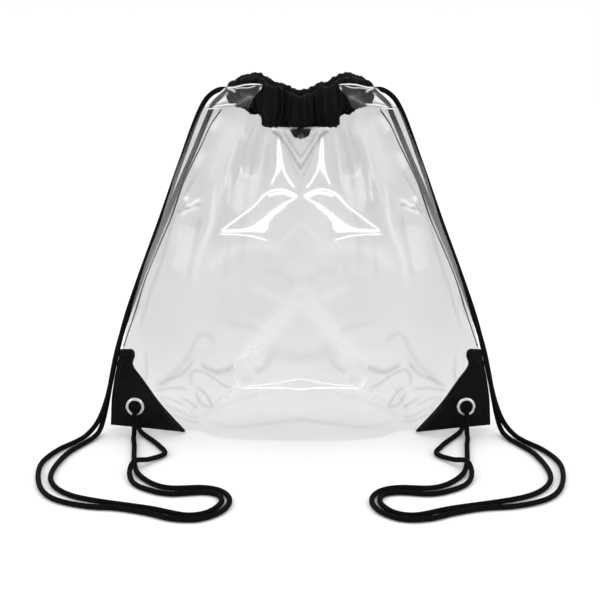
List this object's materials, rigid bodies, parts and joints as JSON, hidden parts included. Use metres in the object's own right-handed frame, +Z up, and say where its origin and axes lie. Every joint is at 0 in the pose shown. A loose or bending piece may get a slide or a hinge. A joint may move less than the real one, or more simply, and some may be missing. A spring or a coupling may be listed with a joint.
{
  "type": "clear drawcord backpack",
  "caption": "Clear see-through drawcord backpack standing up, with a gathered cloth neck casing, cloth corner patches and metal eyelets.",
  "frame": {"origin": "on the floor under the middle of the sack, without its drawcords", "axes": "+Z up, -Y towards the front, where the cords lie; X runs from seam to seam"},
  "size_m": [0.4512, 0.3088, 0.3277],
  "materials": {
    "clear_sheet": "clear, glossy, lightly creased vinyl",
    "black_cloth": "fine black woven polyester with a slight sheen",
    "black_cord": "braided black polyester cord, matt",
    "nickel": "bright nickel plate"
  },
  "bodies": {
    "root": {"clear_front_panel": "clear_sheet", "clear_back_panel": "clear_sheet", "casing_front": "black_cloth", "casing_back": "black_cloth", "corner_patch_left": "black_cloth", "corner_patch_right": "black_cloth", "eyelet_left": "nickel", "eyelet_right": "nickel", "eyelet_washer_left": "nickel", "eyelet_washer_right": "nickel", "drawcord_left_front": "black_cord", "drawcord_left_back": "black_cord", "drawcord_right_front": "black_cord", "drawcord_right_back": "black_cord"}
  },
  "joints": []
}
